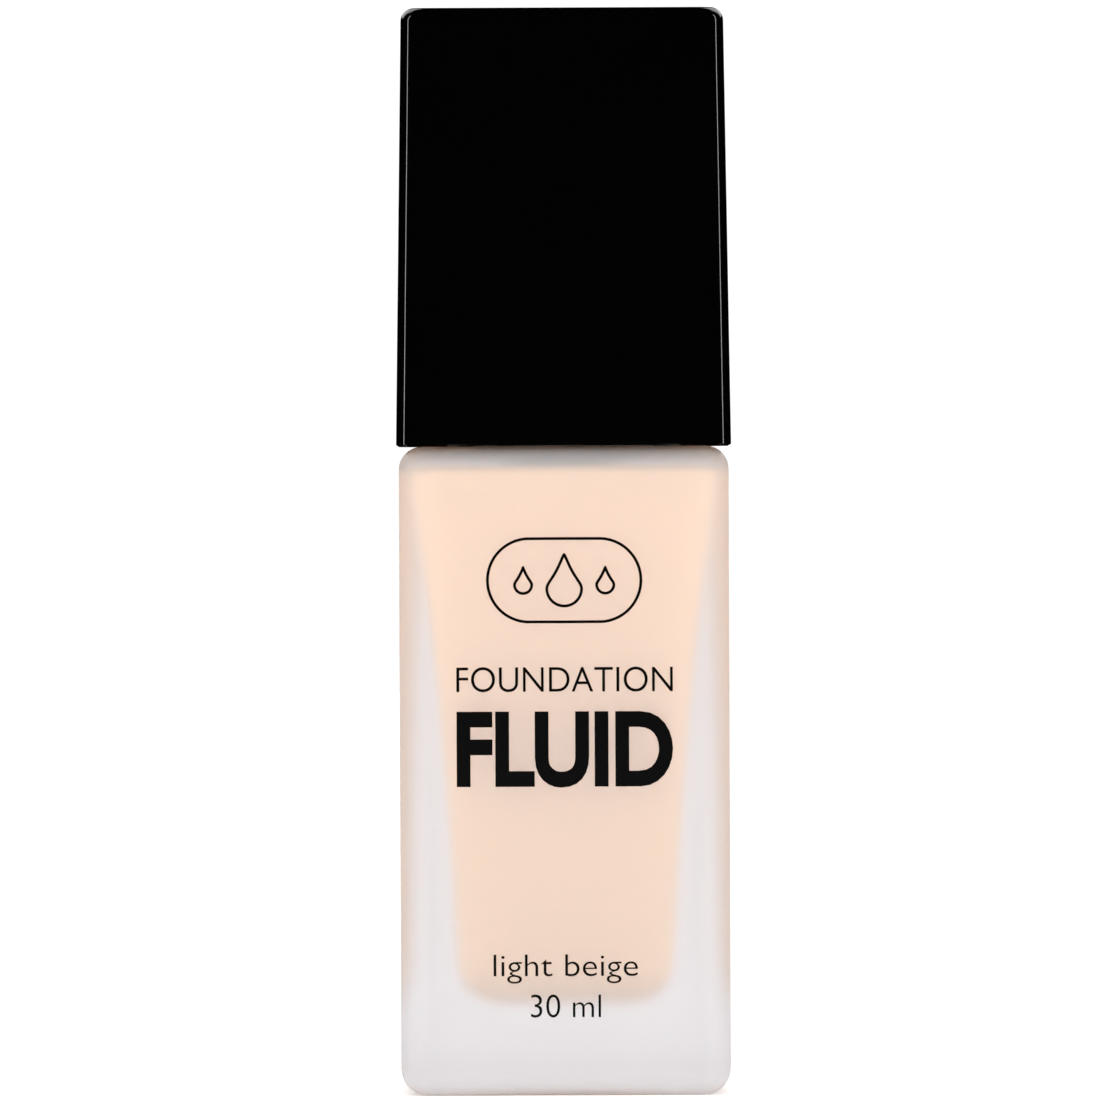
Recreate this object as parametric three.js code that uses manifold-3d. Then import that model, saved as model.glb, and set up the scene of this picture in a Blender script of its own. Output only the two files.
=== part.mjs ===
// Foundation bottle: a heavy square glass bottle with a tapering chamber, a screw-on dispensing pump with a
// spring, piston and ball valve, and a tall square overcap. Millimetres, +Z up, spout towards -Y, origin at the
// middle of the face that the bottle stands on.
import * as THREE from "three";
import { mergeVertices } from "three/addons/utils/BufferGeometryUtils.js";
import Module from "manifold-3d";

const wasm = await Module();
wasm.setup();

// Driving dimensions.
const GLASS = { half: 16.5, height: 64.9, corner: 3.0, footFillet: 2.7, shoulderFillet: 2.3 };
const PUSH_UP = { rise: 0.8, half: 8.0, rim: 11.0 }; // the recess under the base and the rim round it
const CHAMBER = { floor: 9.0, ceiling: 62.6, lowHalf: 10.7, highHalf: 15.0, curve: 1.4, cornerShare: 0.16 };
const CHAMBER_FILLET = { low: 4.4, high: 1.0 };
const NECK = { root: 8.8, crest: 9.8, bore: 5.6, height: 13.5 };
const THREAD = { pitch: 3.175, neckTurns: 1.5, collarTurns: 1.1, crestWidth: 0.9, rootWidth: 1.9 };
const CAP = { half: 16.75, topHalf: 16.12, corner: 2.4, wall: 1.3, height: 43.75, topFillet: 1.3, gap: 0.1 };
const VENT = { radius: 0.45, height: 77.2 }; // lets air into the bottle as the liquid leaves
const FIT = 0.3; // clearance between neighbours that are drawn apart
const SEAT = 0.05; // clearance between stacked faces
const SLIDE = 0.1; // clearance of a part that runs in or on another
const LEVEL = 60.6; // top of the liquid
const STROKE = 4.2; // travel of the pump head
const SLIP = 0.8; // travel of the piston along the stem, which opens and shuts the stem's ports
const CORNER_STEPS = 8; // facets in each corner of a rounded square
const RING_STEPS = 4 * (CORNER_STEPS + 1);
const ROUND = 32; // facets round a large circle
const SMALL_ROUND = 20; // facets round a small one

// Heights that several pieces share.
const NECK_TOP = GLASS.height + NECK.height;
const GASKET = { low: NECK_TOP + SEAT, thick: 1.0, radius: 8.6 };
const FLANGE = { low: GASKET.low + GASKET.thick + SEAT, thick: 1.2 };
const GUIDE = {
  low: FLANGE.low + FLANGE.thick + SEAT,
  thick: 1.0,
  flange: 8.4,
  tower: 5.4,
  bore: 2.3,
  top: 86.3,
};
const COLLAR = {
  low: GLASS.height + 1.0,
  roof: GUIDE.low + GUIDE.thick + SEAT,
  thick: 1.1,
  outer: 11.2,
  valley: 10.15,
};
const COLLAR_TOP = COLLAR.roof + COLLAR.thick;
const SLEEVE = { inner: 11.3, outer: 11.75, low: GLASS.height + 0.1, thick: 0.45 };
const SLEEVE_TOP = COLLAR_TOP + SEAT + SLEEVE.thick;
const HEAD = { low: SLEEVE_TOP + STROKE + 0.25, top: 102.3, outer: 7.6, wall: 0.9, fillet: 1.0, roof: 1.1 };
const SPOUT = { height: 98.0, outer: 2.3, bore: 0.9, reach: 10.95 };
const STEM = { outer: 2.0, bore: 1.1, low: 73.3, top: 96.8, portHeight: 74.9, portRadius: 0.4 };
const STEM_STOP = { low: 78.6, radius: 2.9, thick: 0.8 }; // the shoulder that stops the stem under its guide
const STEM_FOOT = { bore: 1.35, deep: 1.0 }; // the socket that the plug snaps into
const BARREL = { outer: 4.6, bore: 3.7, ledge: 62.8, tubeTop: 56.0, low: 49.0 };
const BALL = { radius: 1.5, centre: 59.35, cage: 2.1, lip: 1.25, throat: 0.9 };
const SPRING = { wire: 0.275, coil: 2.75, turns: 6.5, closed: 0.8, low: BARREL.ledge + SLIDE, top: 72.4 };
const PLUG = { radius: 3.2, thick: 0.6, nose: 1.4 };
const TUBE = { outer: 1.6, bore: 1.1, low: 12.0, slant: 0.6 };
const LINER = { bore: 12.1, tube: 13.0, seat: 11.3, low: 65.6, top: 88.0, flange: 1.2 };
const GUSSET = { reach: 5.4, thick: 1.2, height: 20 };
const GRIP_RIB = { count: 8, stand: 0.6, width: 1.0 };
const CORE = { boss: 3.4, discLift: 1.6, discThick: 1.0 };
const LABEL = { half: 7.2, corner: 2.0, low: 0.64, high: 0.76 };

// Surface finishes.
const finish = (color, roughness, metalness = 0) =>
  new THREE.MeshStandardMaterial({ color, roughness, metalness });
const FROSTED = finish(0xe6e3e6, 0.45);
const FLUID = finish(0xf5d9c4, 0.35);
const PIANO_BLACK = finish(0x050506, 0.08);
const SATIN_BLACK = finish(0x101012, 0.4);
const ALUMINIUM = finish(0x151517, 0.25, 0.8);
const NATURAL = finish(0xe9e9e4, 0.5);
const STEEL = finish(0xc4c6c9, 0.25, 1);
const RUBBER = finish(0xd8d8d2, 0.7);

// Points [radius, height] on an arc, from one angle to another in degrees.
function arc(radius, height, size, from, to, steps = 4) {
  return Array.from({ length: steps + 1 }, (_, i) => {
    const turn = THREE.MathUtils.degToRad(from + ((to - from) * i) / steps);
    return [radius + size * Math.cos(turn), height + size * Math.sin(turn)];
  });
}

// A profile of [radius, height] points spun about the Z axis. Outer walls run up and inner walls run down.
function spun(profile, steps = ROUND) {
  const points = profile.map(([radius, height]) => new THREE.Vector2(radius, height));
  return new THREE.LatheGeometry(points, steps).rotateX(Math.PI / 2);
}

// A plain ring with square edges.
function ring(inner, outer, low, high, steps = ROUND) {
  return spun([[inner, low], [outer, low], [outer, high], [inner, high], [inner, low]], steps);
}

// A profile of [half width, height, corner radius] points carried round rounded squares. A corner radius equal to
// the half width gives a circle.
function squareSpun(profile) {
  const points = profile.map(([half, height]) => new THREE.Vector2(half, height));
  const geometry = new THREE.LatheGeometry(points, RING_STEPS);
  const place = geometry.getAttribute("position");
  for (let step = 0; step <= RING_STEPS; step++) {
    const quarter = Math.floor(step / (CORNER_STEPS + 1)) * (Math.PI / 2);
    const turn = quarter + ((step % (CORNER_STEPS + 1)) / CORNER_STEPS) * (Math.PI / 2);
    const middle = quarter + Math.PI / 4;
    profile.forEach(([half, height, corner], row) => {
      const straight = (half - corner) * Math.SQRT2;
      const across = straight * Math.sin(middle) + corner * Math.sin(turn);
      const along = straight * Math.cos(middle) + corner * Math.cos(turn);
      place.setXYZ(step * profile.length + row, across, height, along);
    });
  }
  return geometry.rotateX(Math.PI / 2);
}

// Adds a corner radius to the points of a square profile: it shrinks as the outline is set in from the wall.
const cornered = (points, wall, corner) =>
  points.map(([half, height]) => [half, height, Math.max(0.3, corner - (wall - half))]);

// A trapezoid thread wound down the Z axis from a height, thinning to nothing at both ends. side is 1 for a thread
// that stands out from the base radius and -1 for one that stands in.
function thread(base, depth, rootWidth, crestWidth, top, turns, side) {
  const sunk = -0.5 * side;
  const shape = new THREE.Shape([
    new THREE.Vector2(sunk, -rootWidth / 2),
    new THREE.Vector2(depth * side, -crestWidth / 2),
    new THREE.Vector2(depth * side, crestWidth / 2),
    new THREE.Vector2(sunk, rootWidth / 2),
  ]);
  const sweep = turns * Math.PI * 2;
  const steps = Math.round(turns * ROUND);
  const geometry = new THREE.ExtrudeGeometry(shape, { depth: sweep, steps, bevelEnabled: false });
  const place = geometry.getAttribute("position");
  for (let i = 0; i < place.count; i++) {
    const turned = place.getZ(i);
    const fade = THREE.MathUtils.clamp(Math.min(turned, sweep - turned) / 0.6, 0.05, 1);
    const standing = place.getX(i);
    const radius = base + (standing * side > 0 ? standing * fade : standing);
    const height = top + place.getY(i) - (THREAD.pitch * turned) / (Math.PI * 2);
    place.setXYZ(i, radius * Math.cos(-turned), radius * Math.sin(-turned), height);
  }
  return geometry;
}

// Geometry to a manifold solid and back, for cuts and joins.
function solid(geometry) {
  const bare = new THREE.BufferGeometry().setAttribute("position", geometry.getAttribute("position"));
  if (geometry.index) bare.setIndex(geometry.index);
  const merged = mergeVertices(bare, 1e-3);
  const triVerts = new Uint32Array(merged.index.array);
  return new wasm.Manifold(
    new wasm.Mesh({ numProp: 3, vertProperties: merged.getAttribute("position").array, triVerts }),
  );
}

function geometryOf(made) {
  const mesh = made.getMesh();
  return new THREE.BufferGeometry()
    .setAttribute("position", new THREE.BufferAttribute(mesh.vertProperties, 3))
    .setIndex(new THREE.BufferAttribute(mesh.triVerts, 1));
}

// A solid with other geometries joined to it and cut from it.
function fused(geometry, joined, cut = []) {
  const whole = joined.reduce((sum, part) => sum.add(solid(part)), solid(geometry));
  return geometryOf(cut.reduce((rest, part) => rest.subtract(solid(part)), whole));
}

// A round rod from low to high along an axis through a point.
function rod(radius, low, high, axis = "z", at = [0, 0, 0], steps = SMALL_ROUND) {
  const geometry = new THREE.CylinderGeometry(radius, radius, high - low, steps);
  geometry.translate(0, (low + high) / 2, 0);
  if (axis === "z") geometry.rotateX(Math.PI / 2);
  if (axis === "x") geometry.rotateZ(-Math.PI / 2);
  return geometry.translate(...at);
}

// Half width of the chamber at a share of its height.
const chamberHalf = (share) =>
  CHAMBER.lowHalf + (CHAMBER.highHalf - CHAMBER.lowHalf) * Math.pow(share, CHAMBER.curve);

// The chamber's corner radius is the same share of its half width at every height.
const chamberRing = ([half, height]) => [half, height, half * CHAMBER.cornerShare];

// Points up the side of the chamber, from above the floor fillet to a height, set in by a clearance.
function chamberWall(low, high, clearance, steps = 7) {
  return Array.from({ length: steps + 1 }, (_, i) => {
    const height = low + ((high - low) * i) / steps;
    const share = (height - CHAMBER.floor) / (CHAMBER.ceiling - CHAMBER.floor);
    return chamberRing([chamberHalf(Math.max(0, share)) - clearance, height]);
  });
}

// The glass: foot, walls and shoulder outside, threaded neck, and the chamber inside.
function bottle() {
  const { half, height, corner, footFillet, shoulderFillet } = GLASS;
  const inset = half - footFillet;
  const foot = cornered(arc(inset, footFillet, footFillet, -90, 0, 5), half, corner);
  const shoulderArc = arc(half - shoulderFillet, height - shoulderFillet, shoulderFillet, 0, 90, 5);
  const shoulder = cornered(shoulderArc, half, corner);
  const neckRound = [
    ...arc(NECK.root + 0.6, height + 0.6, 0.6, 270, 180, 3),
    [NECK.root, NECK_TOP - 0.5],
    [NECK.root - 0.5, NECK_TOP],
    [NECK.bore + 0.4, NECK_TOP],
    [NECK.bore, NECK_TOP - 0.4],
    ...arc(NECK.bore + 0.8, CHAMBER.ceiling + 0.8, 0.8, 180, 270, 3),
  ].map(([radius, level]) => [radius, level, radius]);
  const { low, high } = CHAMBER_FILLET;
  const roof = arc(CHAMBER.highHalf - high, CHAMBER.ceiling - high, high, 90, 10, 4).map(chamberRing);
  const side = chamberWall(CHAMBER.floor + low, CHAMBER.ceiling - high - 0.4, 0).reverse();
  const floorHalf = side.at(-1)[0];
  const floor = arc(floorHalf - low, CHAMBER.floor + low, low, -15, -90, 4).map(chamberRing);
  const body = squareSpun([
    [0, PUSH_UP.rise, 0],
    [PUSH_UP.half, PUSH_UP.rise, 3.0],
    [PUSH_UP.rim, 0, 1.2],
    ...foot,
    ...shoulder,
    ...neckRound,
    ...roof,
    ...side,
    ...floor,
    [0, CHAMBER.floor, 0],
  ]);
  const { rootWidth, crestWidth, neckTurns } = THREAD;
  const depth = NECK.crest - NECK.root;
  return fused(body, [thread(NECK.root, depth, rootWidth, crestWidth, NECK_TOP - 2.4, neckTurns, 1)]);
}

// The liquid: the chamber's shape up to the fill level, with room for the pump barrel and the dip tube.
function foundationFill() {
  const low = CHAMBER.floor + FIT;
  const fillet = CHAMBER_FILLET.low;
  const side = chamberWall(low + fillet, LEVEL, FIT, 6);
  const startHalf = side[0][0];
  const floorArc = arc(startHalf - fillet, low + fillet, fillet, -90, -15, 4);
  const wells = [
    [BARREL.outer + 0.4, LEVEL],
    [BARREL.outer + 0.4, BARREL.low - 0.5],
    [TUBE.outer + FIT, BARREL.low - 0.5],
    [TUBE.outer + FIT, TUBE.low - 0.5],
  ].map(([radius, level]) => [radius, level, radius]);
  return squareSpun([
    [0, low, 0],
    ...floorArc.map(chamberRing),
    ...side,
    ...wells,
    [0, TUBE.low - 0.5, 0],
  ]);
}

// The overcap's outer shell: a square cap with a little draft, sharp at the mouth and rounded at the top.
function overcapShell() {
  const { half, topHalf, corner, wall, height, topFillet, gap } = CAP;
  const low = GLASS.height + gap;
  const high = low + height;
  const topArc = arc(topHalf - topFillet, high - topFillet, topFillet, 0, 90, 5);
  return squareSpun([
    [half - wall, low, corner - wall],
    [half, low, corner],
    ...cornered(topArc, topHalf, corner),
    [0, high, 0],
    [0, high - wall - 0.2, 0],
    [topHalf - wall, high - wall - 0.2, corner - wall],
    [half - wall, low, corner - wall],
  ]);
}

// The overcap's inner liner: a tube that slips over the collar sleeve and seats on its top, on a square flange
// that closes the cap's mouth, with grip ribs inside and gussets outside.
function overcapLiner() {
  const { bore, tube, seat, low, top, flange } = LINER;
  const step = SLEEVE_TOP + SEAT;
  const wallHalf = CAP.half - CAP.wall - FIT;
  const barrel = spun([
    [bore, low],
    [tube, low],
    [tube, top],
    [seat, top],
    [seat, step],
    [bore, step],
    [bore, low],
  ]);
  const plate = squareSpun([
    [bore, low, bore],
    [wallHalf, low, CAP.corner - CAP.wall],
    [wallHalf, low + flange, CAP.corner - CAP.wall],
    [bore, low + flange, bore],
    [bore, low, bore],
  ]);
  const gussets = [45, 135, 225, 315].map((angle) => {
    const web = new THREE.BoxGeometry(GUSSET.reach, GUSSET.thick, GUSSET.height);
    web.translate(tube - 0.4 + GUSSET.reach / 2, 0, low + GUSSET.height / 2);
    return web.rotateZ(THREE.MathUtils.degToRad(angle));
  });
  const gripRibs = Array.from({ length: GRIP_RIB.count }, (_, i) => {
    const rib = new THREE.BoxGeometry(GRIP_RIB.stand, GRIP_RIB.width, step - low - 0.8);
    rib.translate(bore + SLIDE, 0, (step + low) / 2);
    return rib.rotateZ(((i + 0.5) / GRIP_RIB.count) * Math.PI * 2);
  });
  return fused(barrel, [plate, ...gussets, ...gripRibs]);
}

// The screw collar that clamps the pump to the neck.
function screwCollar() {
  const { low, roof, thick, outer, valley } = COLLAR;
  const body = spun([
    [valley, low],
    [outer, low],
    [outer, roof + thick],
    [GUIDE.tower + FIT, roof + thick],
    [GUIDE.tower + FIT, roof],
    [valley, roof],
    [valley, low],
  ]);
  const neckMiddle = NECK_TOP - 2.4 - THREAD.pitch / 2;
  return fused(body, [thread(valley, 0.95, 1.5, 0.6, neckMiddle, THREAD.collarTurns, -1)]);
}

// The thin metal sleeve round the collar, turned in over its top.
function collarSleeve() {
  const { inner, outer, low } = SLEEVE;
  return spun([
    [inner, low],
    [outer, low],
    ...arc(outer - 0.4, SLEEVE_TOP - 0.4, 0.4, 0, 90, 3),
    [7.0, SLEEVE_TOP],
    [7.0, COLLAR_TOP + SEAT],
    [inner, COLLAR_TOP + SEAT],
    [inner, low],
  ]);
}

// The pump's barrel: flange, piston bore, spring ledge, ball seat and dip tube socket, with a vent in its side.
function pumpHousing() {
  const { outer, bore, ledge, tubeTop, low } = BARREL;
  const flangeTop = FLANGE.low + FLANGE.thick;
  const cone = BALL.centre - BALL.radius * Math.SQRT2;
  const body = spun(
    [
      [TUBE.outer + SLIDE, low],
      [2.7, low],
      [2.7, tubeTop + 0.6],
      [3.5, tubeTop + 1.4],
      [3.5, ledge - 2.2],
      [outer, ledge - 0.6],
      [outer, FLANGE.low],
      [GASKET.radius, FLANGE.low],
      [GASKET.radius, flangeTop],
      [bore, flangeTop],
      [bore, ledge],
      [BALL.lip, ledge],
      [BALL.lip, ledge - 0.4],
      [BALL.cage, ledge - 0.8],
      [BALL.cage, cone + BALL.cage - SLIDE],
      [BALL.throat, cone + BALL.throat - SLIDE],
      [BALL.throat, tubeTop],
      [TUBE.outer + SLIDE, tubeTop],
      [TUBE.outer + SLIDE, low],
    ],
    24,
  );
  return fused(body, [], [rod(VENT.radius, 0, BARREL.outer + 1, "x", [0, 0, VENT.height], 10)]);
}

// The guide that closes the barrel: a plug inside it, a flange under the collar, and a tower round the stem.
function stemGuide() {
  const top = GUIDE.low + GUIDE.thick;
  const plugLow = STEM_STOP.low + STEM_STOP.thick + SEAT;
  return spun([
    [GUIDE.bore, plugLow],
    [BARREL.bore - SLIDE, plugLow],
    [BARREL.bore - SLIDE, GUIDE.low],
    [GUIDE.flange, GUIDE.low],
    [GUIDE.flange, top],
    [GUIDE.tower, top],
    ...arc(GUIDE.tower - 0.4, GUIDE.top - 0.4, 0.4, 0, 90, 2),
    [GUIDE.tower - 0.9, GUIDE.top],
    [GUIDE.tower - 0.9, GUIDE.top - 2.6],
    [GUIDE.bore + 0.8, GUIDE.top - 2.6],
    [GUIDE.bore + 0.8, GUIDE.top - 0.6],
    [GUIDE.bore, GUIDE.top - 0.6],
    [GUIDE.bore, plugLow],
  ]);
}

// The hollow stem: shoulder that stops it under the guide, and two side ports near its foot.
function stemTube() {
  const { outer, bore, low, top, portHeight, portRadius } = STEM;
  const body = spun(
    [
      [STEM_FOOT.bore, low],
      [outer, low],
      [outer, STEM_STOP.low],
      [STEM_STOP.radius, STEM_STOP.low],
      [STEM_STOP.radius, STEM_STOP.low + STEM_STOP.thick],
      [outer, STEM_STOP.low + STEM_STOP.thick],
      [outer, top - 0.3],
      [outer - 0.3, top],
      [bore, top],
      [bore, low + STEM_FOOT.deep],
      [STEM_FOOT.bore, low + STEM_FOOT.deep],
      [STEM_FOOT.bore, low],
    ],
    SMALL_ROUND,
  );
  return fused(body, [], [rod(portRadius, -outer - 1, outer + 1, "x", [0, 0, portHeight], 10)]);
}

// The plug that closes the stem's foot: its flange carries the piston and rests on the spring.
function stemPlug() {
  const flangeLow = SPRING.top + SEAT;
  const spigot = STEM_FOOT.bore - SLIDE;
  const spigotTop = STEM.low + STEM_FOOT.deep - SLIDE;
  return spun(
    [
      [0, flangeLow - PLUG.nose],
      [1.3, flangeLow - PLUG.nose],
      [1.9, flangeLow],
      [PLUG.radius, flangeLow],
      [PLUG.radius, flangeLow + PLUG.thick],
      [PLUG.radius - 0.3, STEM.low - SEAT],
      [spigot, STEM.low - SEAT],
      [spigot, spigotTop],
      [0, spigotTop],
    ],
    SMALL_ROUND,
  );
}

// The piston: a sleeve on the stem with two sealing lips against the barrel.
function piston() {
  const low = STEM.low;
  const high = STEM_STOP.low - SLIP - SEAT;
  const lip = BARREL.bore - SLIDE;
  const inner = STEM.outer + SLIDE;
  return spun(
    [
      [inner, low],
      [2.6, low],
      [3.0, low + 0.3],
      [lip, low + 0.1],
      [lip, low + 0.6],
      [2.9, low + 1.3],
      [2.9, high - 1.3],
      [lip, high - 0.6],
      [lip, high - 0.1],
      [3.0, high - 0.3],
      [2.6, high],
      [inner, high],
      [inner, low],
    ],
    SMALL_ROUND,
  );
}

// The return spring: a helix whose end turns lie close together.
class SpringLine extends THREE.Curve {
  getPoint(share, target = new THREE.Vector3()) {
    const { wire, coil, turns, closed, low, top } = SPRING;
    const closedPitch = 2 * wire + SEAT;
    const openPitch = (top - low - 2 * wire - 2 * closed * closedPitch) / (turns - 2 * closed);
    const turned = share * turns;
    const closedTurned = Math.min(turned, closed) + Math.max(0, turned - turns + closed);
    const height = low + wire + closedTurned * closedPitch + (turned - closedTurned) * openPitch;
    const angle = turned * Math.PI * 2;
    return target.set(coil * Math.cos(angle), coil * Math.sin(angle), height);
  }
}

function returnSpring() {
  const section = new THREE.Shape().absarc(0, 0, SPRING.wire, 0, Math.PI * 2);
  return new THREE.ExtrudeGeometry(section, {
    steps: Math.round(SPRING.turns * 18),
    curveSegments: 3,
    extrudePath: new SpringLine(),
  });
}

// The dip tube, cut at a slant at its foot.
function dipTube() {
  const top = BARREL.tubeTop - SLIDE;
  const slant = new THREE.BoxGeometry(8, 8, 4).rotateY(TUBE.slant).translate(0.6, 0, TUBE.low - 1.4);
  return fused(ring(TUBE.bore, TUBE.outer, TUBE.low, top, SMALL_ROUND), [], [slant]);
}

// The head's outer button: a skirted cup with a dished top and a hole for the spout.
function headButton() {
  const { low, top, outer, wall, fillet, roof } = HEAD;
  const inner = outer - wall;
  const cup = spun([
    [inner, low],
    [outer, low],
    ...arc(outer - fillet, top - fillet, fillet, 0, 90, 4),
    [4.5, top - 0.4],
    [0, top - 0.6],
    [0, top - 0.6 - roof],
    [inner - 0.4, top - 0.6 - roof],
    [inner, top - 1.0 - roof],
    [inner, low],
  ]);
  return fused(cup, [], [rod(SPOUT.outer + FIT, -HEAD.outer - 2, 0, "y", [0, 0, SPOUT.height])]);
}

// The head's core: a boss on the stem, a disc across the skirt, and the spout with its channel.
function nozzleCore() {
  const low = GUIDE.top + STROKE + 0.3;
  const socket = STEM.outer + SLIDE;
  const disc = HEAD.outer - HEAD.wall - FIT;
  const discLow = low + CORE.discLift;
  const bossTop = HEAD.top - HEAD.roof - 0.7;
  const boss = spun(
    [
      [0, low],
      [CORE.boss, low],
      [CORE.boss, discLow],
      [disc, discLow],
      [disc, discLow + CORE.discThick],
      [CORE.boss, discLow + CORE.discThick],
      [CORE.boss, bossTop],
      [0, bossTop],
    ],
    24,
  );
  const stemHole = rod(socket, low - 1, STEM.top + SEAT);
  const spoutAt = [0, 0, SPOUT.height];
  const tip = new THREE.CylinderGeometry(SPOUT.outer - 0.5, SPOUT.outer, 1, SMALL_ROUND).rotateX(Math.PI);
  tip.translate(0, -SPOUT.reach + 0.5, SPOUT.height);
  const nose = rod(SPOUT.outer, -SPOUT.reach + 1, -1, "y", spoutAt);
  const channel = rod(SPOUT.bore, -SPOUT.reach - 1, 0.5, "y", spoutAt, 12);
  const riser = rod(SPOUT.bore, STEM.top - 0.5, SPOUT.height, "z", [0, 0, 0], 12);
  return fused(boss, [nose, tip], [stemHole, channel, riser]);
}

// The thin label in the recess under the base.
function baseLabel() {
  const { half, corner, low, high } = LABEL;
  return squareSpun([
    [0, low, 0],
    [half, low, corner],
    [half, high, corner],
    [0, high, 0],
  ]);
}

const part = new THREE.Group();
const pieces = [
  ["bottle", bottle(), FROSTED],
  ["foundation_fill", foundationFill(), FLUID],
  ["base_label", baseLabel(), NATURAL],
  ["neck_gasket", ring(BARREL.outer + 0.5, GASKET.radius, GASKET.low, GASKET.low + GASKET.thick), RUBBER],
  ["pump_housing", pumpHousing(), NATURAL],
  ["stem_guide", stemGuide(), SATIN_BLACK],
  ["dip_tube", dipTube(), NATURAL],
  ["ball_valve", new THREE.SphereGeometry(BALL.radius, 16, 12).translate(0, 0, BALL.centre), STEEL],
  ["return_spring", returnSpring(), STEEL],
  ["stem_tube", stemTube(), NATURAL],
  ["stem_plug", stemPlug(), NATURAL],
  ["piston", piston(), RUBBER],
  ["screw_collar", screwCollar(), SATIN_BLACK],
  ["collar_sleeve", collarSleeve(), ALUMINIUM],
  ["head_button", headButton(), PIANO_BLACK],
  ["nozzle_core", nozzleCore(), SATIN_BLACK],
  ["overcap_liner", overcapLiner(), SATIN_BLACK],
  ["overcap_shell", overcapShell(), PIANO_BLACK],
];
for (const [name, geometry, material] of pieces) {
  const mesh = new THREE.Mesh(geometry, material);
  mesh.name = name;
  part.add(mesh);
}

export default part;
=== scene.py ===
import math

import bmesh
import bpy
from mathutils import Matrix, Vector


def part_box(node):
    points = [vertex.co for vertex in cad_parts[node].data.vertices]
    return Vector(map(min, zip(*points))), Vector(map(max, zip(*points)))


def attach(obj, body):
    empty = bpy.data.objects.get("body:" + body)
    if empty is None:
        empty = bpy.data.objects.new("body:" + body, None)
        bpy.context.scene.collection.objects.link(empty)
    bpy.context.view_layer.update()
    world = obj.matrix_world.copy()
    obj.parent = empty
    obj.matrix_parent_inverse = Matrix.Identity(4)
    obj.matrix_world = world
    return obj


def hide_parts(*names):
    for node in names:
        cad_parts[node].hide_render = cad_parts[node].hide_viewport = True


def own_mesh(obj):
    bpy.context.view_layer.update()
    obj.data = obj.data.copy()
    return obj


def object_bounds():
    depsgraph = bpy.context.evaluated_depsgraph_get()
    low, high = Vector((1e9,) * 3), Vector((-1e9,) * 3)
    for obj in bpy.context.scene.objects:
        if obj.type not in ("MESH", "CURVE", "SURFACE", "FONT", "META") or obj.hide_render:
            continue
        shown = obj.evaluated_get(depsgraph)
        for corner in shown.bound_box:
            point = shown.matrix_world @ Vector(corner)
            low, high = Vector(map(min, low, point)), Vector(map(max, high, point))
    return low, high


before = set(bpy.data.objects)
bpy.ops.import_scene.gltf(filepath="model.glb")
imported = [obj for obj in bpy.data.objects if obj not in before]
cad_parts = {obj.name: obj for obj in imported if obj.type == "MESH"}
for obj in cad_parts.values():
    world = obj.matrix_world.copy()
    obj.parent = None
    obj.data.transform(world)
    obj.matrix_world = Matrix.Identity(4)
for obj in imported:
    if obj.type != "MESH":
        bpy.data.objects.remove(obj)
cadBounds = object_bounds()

mm = 0.001  # pieces are shaped in millimetres and kept in metres
seam = 0.003  # corners closer than this, in millimetres, are one


shot = {
    "frameWidth": 109.8,  # width of the picture at the front of the bottle
    "distance": 1400,  # from the camera to the front of the bottle
    "aimX": -1.4,
    "aimZ": 54.52,
    "roll": 0.24,  # degrees
    "sensor": 36,
}


def makeCamera():
    front = boxOf("bottle")[0].y
    bpy.ops.object.camera_add()
    camera = bpy.context.object
    camera.name = "studioCamera"
    camera.location = (shot["aimX"] * mm, (front - shot["distance"]) * mm, shot["aimZ"] * mm)
    camera.rotation_euler = (math.radians(90), math.radians(shot["roll"]), 0)
    camera.data.sensor_width = shot["sensor"]
    camera.data.lens = shot["sensor"] * shot["distance"] / shot["frameWidth"]
    camera.data.clip_end = 50
    bpy.context.scene.camera = camera
    print("camera in place")


studio = {
    "skyStrength": 1.06,
    "stripTurn": 83.6,  # degrees round from the camera side
    "stripDistance": 900,
    "stripSize": (45, 1500),
    "stripPower": 3.0,
    "rearTurn": 146,
    "rearLift": 36,  # degrees up
    "rearDistance": 1100,
    "rearSize": (700, 850),
    "rearPower": 4.0,
    "frontTurn": 38,
    "frontLift": 12,
    "frontDistance": 1200,
    "frontSize": (900, 900),
    "frontPower": 6.3,
    "topDistance": 900,
    "topSize": (600, 600),
    "topPower": 1.2,
    "floorSize": 8000,
}


def addSoftbox(name, turn, lift, distance, size, power, rays):
    # turn runs from the camera side towards +X, and the softbox faces the middle of the bottle
    turn, lift = math.radians(turn), math.radians(lift)
    away = Vector((math.sin(turn) * math.cos(lift), -math.cos(turn) * math.cos(lift), math.sin(lift)))
    bpy.ops.object.light_add(type="AREA", location=boxMiddle + away * distance * mm)
    box = bpy.context.object
    box.name = name
    box.data.shape = "RECTANGLE"
    box.data.size = size[0] * mm
    box.data.size_y = size[1] * mm
    box.data.energy = power
    box.rotation_euler = away.to_track_quat("Z", "Y").to_euler()
    box.visible_camera = False
    box.visible_glossy = rays == "gloss"  # only the reflections show these
    box.visible_diffuse = rays != "gloss"
    box.visible_transmission = rays != "gloss"


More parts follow.
